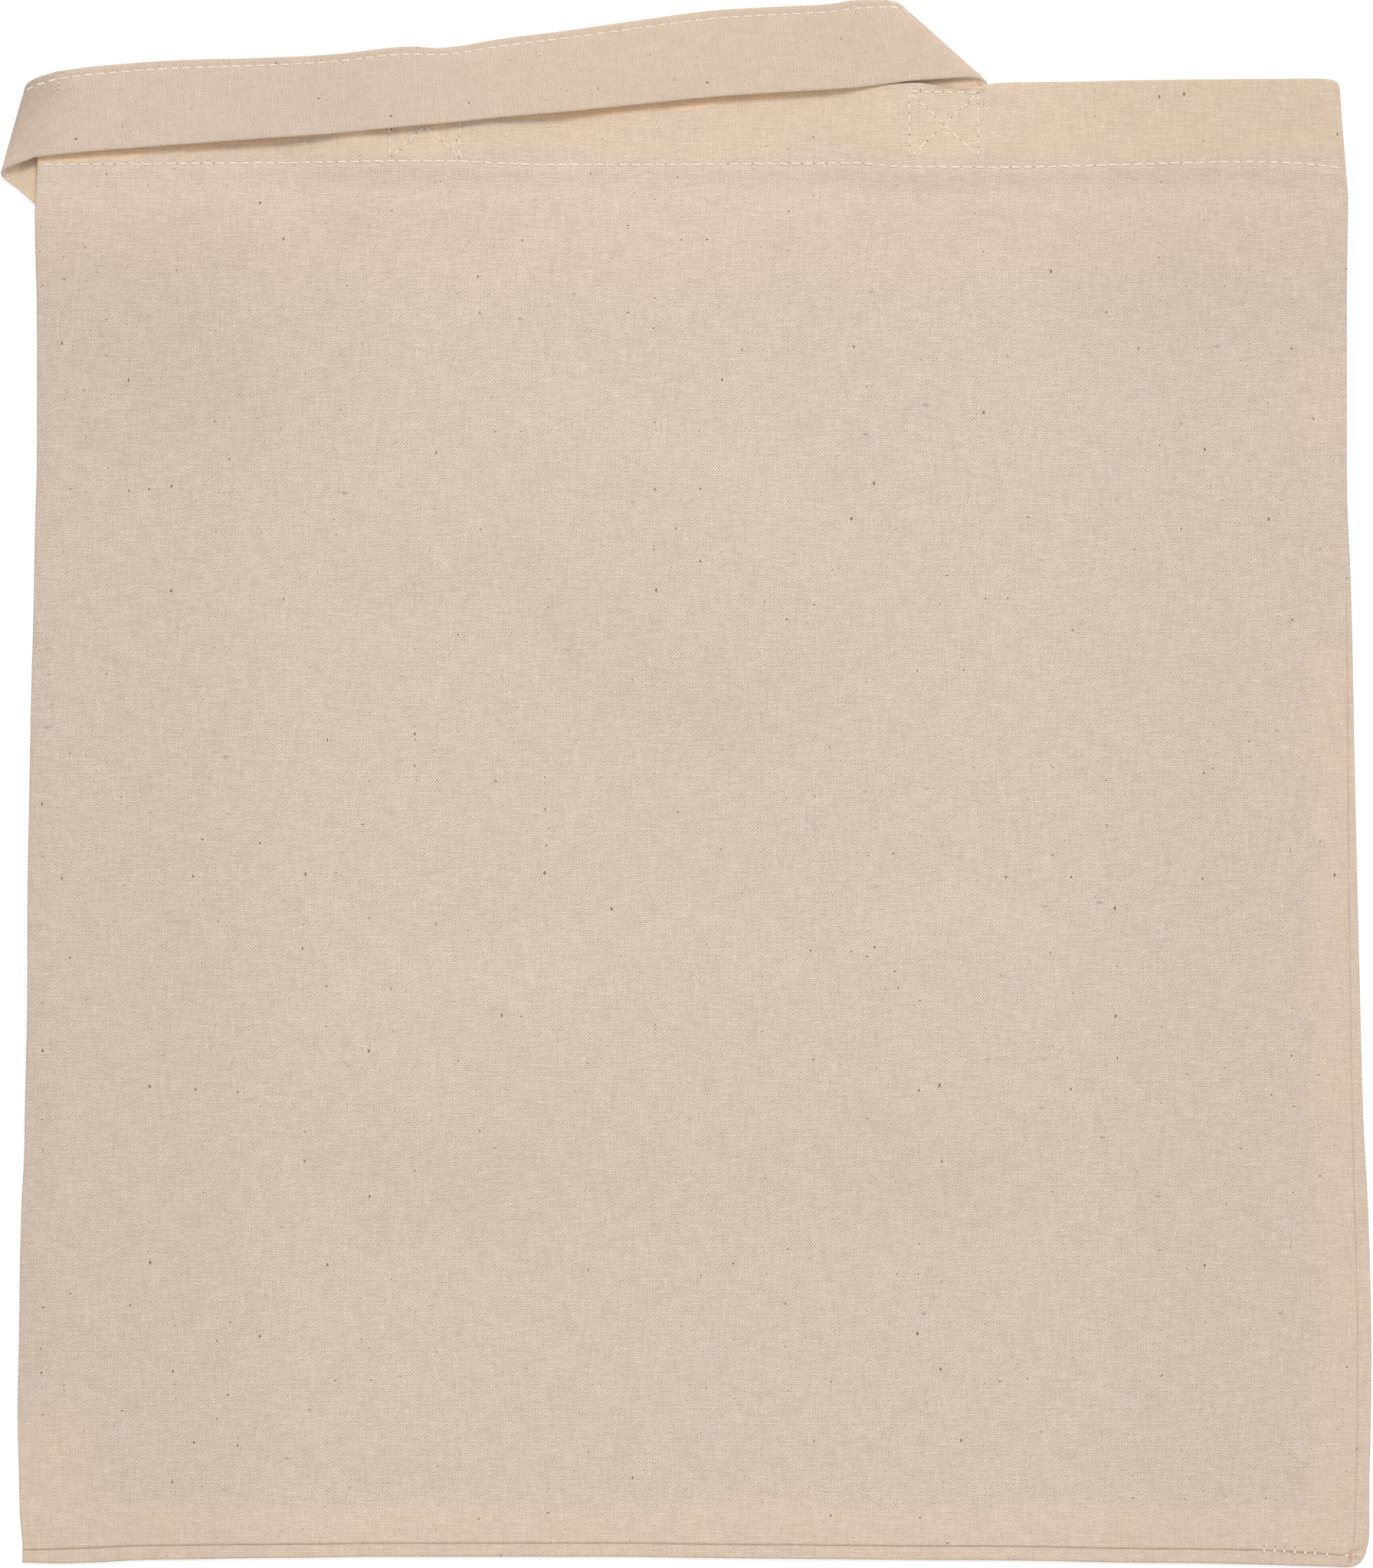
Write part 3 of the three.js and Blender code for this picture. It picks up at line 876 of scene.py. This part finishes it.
def soft_box(n, x, y, box, soft):
    """1 inside the box (x0, x1, y0, y1) in mm, with soft edges."""
    x0, x1, y0, y1 = (side * MM for side in box)
    soft *= MM
    across = n.times(n.fit(x, x0 - soft, x0 + soft), n.fit(x, x1 + soft, x1 - soft))
    up = n.times(n.fit(y, y0 - soft, y0 + soft), n.fit(y, y1 + soft, y1 - soft))
    return n.times(across, up)


def cloth_material(name, plain, warm, deep, pitches, strength, warm_boxes, painted_shading_boxes,
                   painted_bounce_light=0.0, rib=0.1, slubs=1.0, painted_rim_light=0.0):
    """Woven cotton.

    plain, warm and deep are its colour, the one where more cloth backs it (on a handle also
    painted warm light on its under layer, in the shade of its folds) and that of its pinholes,
    which show with the given strength. A box is (sides in mm, softness, amount and perhaps the
    height below which it counts); painted_shading_boxes paint shade, and light where the amount is
    below 0.
    painted_bounce_light is how much it takes of the painted warm light along the handle's lower
    edge, where its shadow falls, rib the depth of the furrows between its threads, slubs how uneven
    they are and rim how much brighter a painted highlight makes a handle's folded edge.
    """
    n = Nodes(name)
    w = weave(n, *pitches)
    place = n.place()
    x, y, z = n.split(place)
    wobble = n.times(n.minus(n.noise(place, 26.0, 3), 0.5), 0.012)
    x_soft, y_soft = n.plus(x, wobble), n.plus(y, wobble)

    def inside(box, soft, amount, top=None):
        """The box's amount inside it, only below height top if there is one."""
        at = (x_soft, y_soft) if soft > 2 else (x, y)
        share = n.times(soft_box(n, *at, box, soft), amount)
        if top is not None:
            share = n.times(share, n.fit(z, top * MM, (top - 0.3) * MM))
        return share

    warmth = 0.0
    for box in warm_boxes:
        warmth = n.math("MAXIMUM", warmth, inside(*box))
    warmth = n.times(warmth, n.fit(n.noise(place, 45.0, 2), 0.3, 0.7, 0.8, 1.15))
    # Painted warm light in the handle's shadow: a band below its lower edge is tinted brighter and
    # warmer.
    shaded = n.minus(n.math("MULTIPLY_ADD", x, *SHADE_EDGE), y_soft)
    shaded = n.times(n.fit(shaded, 0.0025, 0.0013), n.fit(x, 0.06, 0.04))
    tone = n.mix(warmth, plain, warm)
    tone = n.mix(n.times(shaded, painted_bounce_light), tone, colour(250, 220, 186))
    # Painted highlight: a handle's folded edge is made brighter.
    light = n.fit(w["u"], *RIM_HIGHLIGHT_SPAN, 1.0, 1 + painted_rim_light)
    # Painted shade from the boxes, and painted light where an amount is below 0.
    for box in painted_shading_boxes:
        light = n.minus(light, inside(*box))

    # Threads, pinholes and slubs as one brightness.
    light = n.times(light, n.fit(w["patches"], 0.25, 0.75, 0.995, 1.005))
    for thread in (w["across_slub"], w["up_slub"]):
        uneven_thread = n.fit(thread, 0.25, 0.75, 1 - 0.046 * slubs, 1 + 0.054 * slubs)
        light = n.times(light, uneven_thread)
    light = n.times(light, n.math("MULTIPLY_ADD", w["glints"], slubs * 0.09, 1.0))
    light = n.times(light, n.fit(w["grain"], 0.2, 0.8, 0.95, 1.05))
    gap = n.times(w["between"], rib)
    light = n.times(light, n.minus(1.05 + rib / 2, gap))
    depth = n.times(
        n.fit(w["grain"], 0.3, 0.7, 0.45, 1.0),
        n.fit(n.noise(w["uv"], 0.7, 2), 0.3, 0.7, 0.9, 1.06),
    )
    backed = n.math("MULTIPLY_ADD", warmth, -0.34, 1.0)
    hole = n.times(n.times(w["pinholes"], depth), backed)
    lit = n.add("VectorMath", {0: tone}, operation="SCALE")
    n.put(lit.inputs["Scale"], light)
    cool = n.fit(n.noise(w["uv"], 0.7, 2), 0.4, 0.7)
    cast = n.mix(cool, (1.003, 1, 0.993, 1), (0.986, 0.998, 1.012, 1))
    lit = n.mix(1.0, lit.outputs[0], cast, "MULTIPLY")
    shade = n.mix(warmth, deep, colour(160, 106, 70))
    holes = n.mix(n.times(hole, strength), lit, shade)

    # Painted shade: deep in a seam or crease the colour is darker and warmer.
    seam = n.add("Attribute", attribute_name="seam").outputs["Fac"]
    holes = n.mix(n.times(seam, 0.55), holes, colour(180, 144, 110))

    # Bits of seed and stray fibre.
    along_weft = flecks(n, w["uv"], 0.16, (1.0, 0.62), share=0.16, seed=3.1)
    along_warp = flecks(n, w["uv"], 0.24, (0.55, 1.0), share=0.1, seed=17.7)
    brown = n.math("ADD", along_weft, along_warp, clamp=True)
    grey = flecks(n, w["uv"], 0.12, (0.5, 1.0), share=0.12, seed=41.3)
    specked = n.mix(n.times(brown, 0.75), holes, colour(112, 84, 62))
    specked = n.mix(n.times(grey, 0.35), specked, colour(128, 122, 128))

    height = n.minus(n.times(w["across_slub"], 0.5), hole)
    height = n.minus(height, n.times(w["between"], 0.4))
    height = n.plus(height, n.times(w["grain"], 0.6))
    n.emboss(height, 0.35, 0.00012)
    n.bsdf.inputs["Sheen Weight"].default_value = 0.12
    n.bsdf.inputs["Sheen Roughness"].default_value = 0.5
    return n.finish(specked, n.fit(w["patches"], 0.2, 0.8, 0.88, 0.97), 0.2)


def thread_material():
    n = Nodes("thread")
    strands = n.noise(n.place(), 2600.0, 2)
    tone = n.mix(n.fit(strands, 0.3, 0.7), colour(240, 230, 216), colour(252, 245, 235))
    n.emboss(strands, 0.5, 0.00008)
    return n.finish(tone, 0.7, 0.3)


def painted_hole_shade_material():
    # Painted shade for the needle holes.
    n = Nodes("needle_hole_shade")
    dark = n.noise(n.place(), 900.0, 2)
    return n.finish(n.mix(dark, colour(138, 114, 90), colour(170, 144, 116)), 1.0, 0.0)


def floor_material():
    """White paper that keeps a faint shadow. What the camera sees of it is partly its own light."""
    n = Nodes("white_paper")
    fibres = n.noise(n.place(), 60.0, 3)
    paper = n.mix(n.fit(fibres, 0.3, 0.7), (0.93, 0.93, 0.93, 1), (0.96, 0.96, 0.96, 1))
    glow = n.add("Emission", {"Color": (1, 1, 1, 1), "Strength": 1.15})
    ray = n.add("LightPath").outputs
    mirrored = n.math("MAXIMUM", ray["Is Glossy Ray"], ray["Is Transmission Ray"])
    seen_by = n.math("MAXIMUM", ray["Is Camera Ray"], mirrored)
    # None where the floor is seen through the gap under the handle.
    x, y, _ = n.split(n.place())
    gap = soft_box(n, x, y, (-180, 84, 150, 203), 0.5)
    share = n.times(seen_by, n.math("MULTIPLY_ADD", gap, -0.6, 0.6))
    both = n.add("MixShader", {0: share})
    n.put(both.inputs[1], n.bsdf.outputs[0])
    n.put(both.inputs[2], glow.outputs[0])
    n.put(n.tree.nodes["Material Output"].inputs["Surface"], both.outputs[0])
    return n.finish(paper, 1.0, 0.0)


# -------------------- sewing

STITCH_RINGS = np.linspace(-1, 1, 9)
STITCH_SIDES = 8


class Sewing:
    """Collects stitches and dark blobs of painted shade at the needle holes, then makes each into
    one joined mesh.
    """

    def __init__(self):
        self.threads = ([], [])
        self.holes = ([], [])

    def tube(self, store, centre, along, normal, length, thick, sag):
        vertices, faces = store
        side = np.cross(normal, along)
        start = len(vertices)
        for ring in STITCH_RINGS:
            width = thick / 2 * math.sqrt(max(1 - abs(ring) ** 6, 0.02))
            middle = centre + along * ring * length / 2 - normal * sag * ring**4
            for k in range(STITCH_SIDES):
                turn = 2 * math.pi * k / STITCH_SIDES
                place = middle + width * (
                    1.2 * math.cos(turn) * side + 0.85 * math.sin(turn) * normal)
                place[2] = max(place[2], 0.01)
                vertices.append(place)
        ids = list(range(start, len(vertices)))
        rings = [ids[k:k + STITCH_SIDES] for k in range(0, len(ids), STITCH_SIDES)]
        for pair in zip(rings, rings[1:]):
            faces.extend(between_rings(*pair))
        faces += [rings[0][::-1], rings[-1]]

    def stitch(self, start, end, normal, thick):
        """One stitch between two needle holes, lying on the cloth."""
        along = unit(end - start)
        normal = unit(normal - along * (normal @ along))
        centre = (start + end) / 2 + normal * 0.13
        length = float(np.linalg.norm(end - start))
        self.tube(self.threads, centre, along, normal, length, thick, 0.16)

    # A dark blob of painted shade, sunk a little into the cloth where the needle went through.
    def hole(self, place, normal, size):
        along = unit(np.cross(normal, (0.3, 1, 0.1)))
        self.tube(self.holes, place - normal * (size * 0.3), along, normal, size, size, 0)


def sew_line(sewing, places, normals, chance, pitch, fill, holes, side, thick):
    """Stitches along a path on the cloth.

    fill is the share of the pitch that thread covers, holes the share of needle holes that
    get a dark blob of painted shade, and side how far a stitch may stray.
    """
    length = run_lengths(places)

    def at(distance, values=places):
        return np.array([np.interp(distance, length, values[:, c]) for c in range(3)])

    count = max(1, round(length[-1] / pitch))
    pitch = length[-1] / count
    for k in range(count):
        start = pitch * (k + (1 - fill) / 2 + chance.uniform(-0.03, 0.03))
        end = start + pitch * fill
        normal = unit(at((start + end) / 2, normals))
        sway = np.cross(normal, unit(at(end) - at(start))) * chance.uniform(-side, side)
        sewing.stitch(at(start) + sway, at(end) - sway, normal, thick * chance.uniform(0.85, 1.15))
        if chance.random() < holes:
            sewing.hole(at(pitch * (k + 1)), normal, NEEDLE * chance.uniform(0.75, 1.15))


def cloth_path(tree, points, below=False, step=0.5):
    """Places and normals on the body's cloth along a path of (x, y) points."""
    points = np.array(points, float)
    along = run_lengths(points)
    at = np.arange(0, along[-1] + 1e-6, step)
    x, y = (np.interp(at, along, points[:, c]) for c in range(2))
    start, down = (-50, 1) if below else (50, -1)
    hits = [tree.ray_cast((a, b, start), (0, 0, down)) for a, b in zip(x, y)]
    return np.array([hit[0] for hit in hits]), np.array([hit[1] for hit in hits])


def sew_hem(sewing, chance, tree, below):
    x = np.arange(-183.5, 187.5, 2.0)
    path = cloth_path(tree, np.stack([x, hem_stitches(x)], 1), below)
    sew_line(
        sewing, *path, chance, STITCH_PITCH, fill=0.76, holes=0.35, side=0.16, thick=0.46)


def sew_boxes(sewing, chance, tree, below):
    for lines in BOXES:
        for line in lines:
            path = cloth_path(tree, line, below)
            sew_line(sewing, *path, chance, BOX_PITCH, fill=0.7, holes=0.8, side=0.08, thick=0.4)


def sew_seams(sewing, chance, tree):
    """Small stitches that show across the bottom seam near its right end."""
    for x in (164.5, 167.3, 170.3, 173.2, 176.1, 178.9, 182.3, 187.9):
        y = float(bottom_seam(x))
        path = [(x, y - 0.5), (x + chance.uniform(-0.3, 0.3), y + 0.5)]
        places, normals = cloth_path(tree, path, step=0.25)
        start, end = places[0], places[-1]
        start[2] = end[2] = max(start[2], end[2]) - 0.02
        sewing.stitch(start, end, np.array([0.0, 0, 1]), 0.55)
        if chance.random() < 0.6:
            sewing.hole(places[-1] + np.array([0.1, 0.9, 0.05]), normals[-1], NEEDLE)


def sew_handle(sewing, chance, stations):
    """Edge stitching along both faces of a handle, in its valley beside the open edge."""
    valley, depth = 8.95, 0.5
    for level in (1, -1):
        places = np.array([p + valley * a + level * depth * f for p, a, f in stations])
        normals = np.array([level * f for _, _, f in stations])
        sew_line(
            sewing, places, normals, chance, STITCH_PITCH,
            fill=0.74, holes=0.12, side=0.1, thick=0.38)


# -------------------- the object


def build_bag():
    body_cloth = cloth_material(
        "body_cotton",
        colour(226, 209, 194),
        colour(230, 209, 186),
        colour(124, 98, 78),
        (THREADS_ACROSS, THREADS_UP),
        0.95,
        warm_boxes=[
            ((-200, 220, 178, 240), 3, 0.95),
            ((-200, 220, 148, 240), 15, 0.36),
            ((177.5, 220, -240, 38), 3, 0.5),
            ((-220, 220, -240, -206), 3, 0.55),
            ((-200, -170, -212, -180), 10, 0.6),
            ((174, 200, 98, 124), 5, 0.3),
        ],
        # Painted shade towards the left and right sides and along the left edge, and painted light
        # in a strip just below the hem stitches.
        painted_shading_boxes=[
            ((-230, -124, -260, 165), 20, 0.045),
            ((-230, -90, 95, 162), 20, 0.03),
            ((105, 240, 125, 250), 22, 0.035),
            ((-230, -182, -170, 172), 5, 0.03),
            ((122, 240, -260, 260), 30, 0.035),
            ((-230, 240, 164, 174.5), 3, -0.04),
        ],
        painted_bounce_light=1.0,
    )
    handle_cloth = cloth_material(
        "handle_cotton",
        colour(219, 200, 183),
        colour(228, 205, 180),
        colour(142, 84, 44),
        (THREADS_ACROSS * 1.04, THREADS_UP * 0.96),
        0.59,
        # The last two paint warm light on the under layer, in the shade of the left and the right
        # fold.
        warm_boxes=[
            ((-60, 90, 180, 240), 60, 0.5),
            ((-200, -184, 158, 178), 2, 1.0, 2.4),
            ((58, 84, 190, 205), 0.5, 0.9, 6.1),
        ],
        # Painted shade at the handle's left end and on the under layer by both folds, and painted
        # light on parts of that under layer.
        painted_shading_boxes=[
            ((-215, -183, 179, 215), 8, 0.13),
            ((-215, -177, 192, 215), 7, 0.14),
            ((-200, -184, 158, 172), 2, 0.05),
            ((-197, -190, 174.5, 178), 0.8, -0.25, 2.4),
            ((60, 75.5, 190, 205), 2, 0.1, 6.1),
            ((75.5, 84, 190, 205), 2, -0.06, 6.1),
        ],
        rib=0.16,
        slubs=0.75,
        painted_rim_light=0.13,
    )

    body = build_body(body_cloth)
    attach(body, "root")
    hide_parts("bag_body")

    handles = {}
    for name, node, stations in (
        ("front_strap", "front_handle", front_handle_stations()),
        ("back_strap", "back_handle", back_handle_stations()),
    ):
        piece, length = band(name, stations, handle_cloth)
        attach(piece, "root")
        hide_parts(node)
        handles[name] = stations

    corners = [tuple(vertex.co / MM) for vertex in body.data.vertices]
    tree = BVHTree.FromPolygons(corners, [tuple(face.vertices) for face in body.data.polygons])
    chance = random.Random(5)
    thread, shade = thread_material(), painted_hole_shade_material()
    for name, sew, *where in (
        ("hem_stitches", sew_hem, tree, False),
        ("back_hem_stitches", sew_hem, tree, True),
        ("box_stitches", sew_boxes, tree, False),
        ("back_box_stitches", sew_boxes, tree, True),
        ("seam_stitches", sew_seams, tree),
        ("front_strap_stitches", sew_handle, handles["front_strap"]),
        ("back_strap_stitches", sew_handle, handles["back_strap"]),
    ):
        sewing = Sewing()
        sew(sewing, chance, *where)
        for kind, (vertices, faces), material in (
            ("", sewing.threads, thread), ("_painted_hole_shade", sewing.holes, shade),
        ):
            piece = make_object(name + kind, vertices, faces, material)
            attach(piece, "root")


# -------------------- camera, light and floor


def build_stage():
    floor = make_object(
        "floor",
        [(-6000, -6000, 0), (6000, -6000, 0), (6000, 6000, 0), (-6000, 6000, 0)],
        [(0, 1, 2, 3)],
        floor_material(),
    )
    floor.location.z = -0.02 * MM

    lamp = bpy.data.lights.new("softbox", "AREA")
    lamp.shape = "RECTANGLE"
    lamp.size, lamp.size_y = 1.9, 1.25
    lamp.energy = 84.0
    softbox = add_to_scene("softbox", lamp)
    softbox.location = (0.5, 2.3, 3.7)
    softbox.rotation_euler = softbox.location.to_track_quat("Z", "Y").to_euler()

    world = bpy.data.worlds.new("studio")
    world.use_nodes = True
    background = world.node_tree.nodes["Background"]
    background.inputs["Color"].default_value = (1, 0.985, 0.96, 1)
    background.inputs["Strength"].default_value = 0.58
    bpy.context.scene.world = world

    camera = bpy.data.cameras.new("camera")
    camera.lens = LENS
    camera.sensor_width = SENSOR
    camera.clip_start = 0.05
    camera.clip_end = 50
    above = add_to_scene("camera", camera)
    above.location = (0, 0, CAMERA_HEIGHT * MM)
    bpy.context.scene.camera = above
    bpy.context.scene.view_settings.view_transform = "Standard"


build_stage()
build_bag()
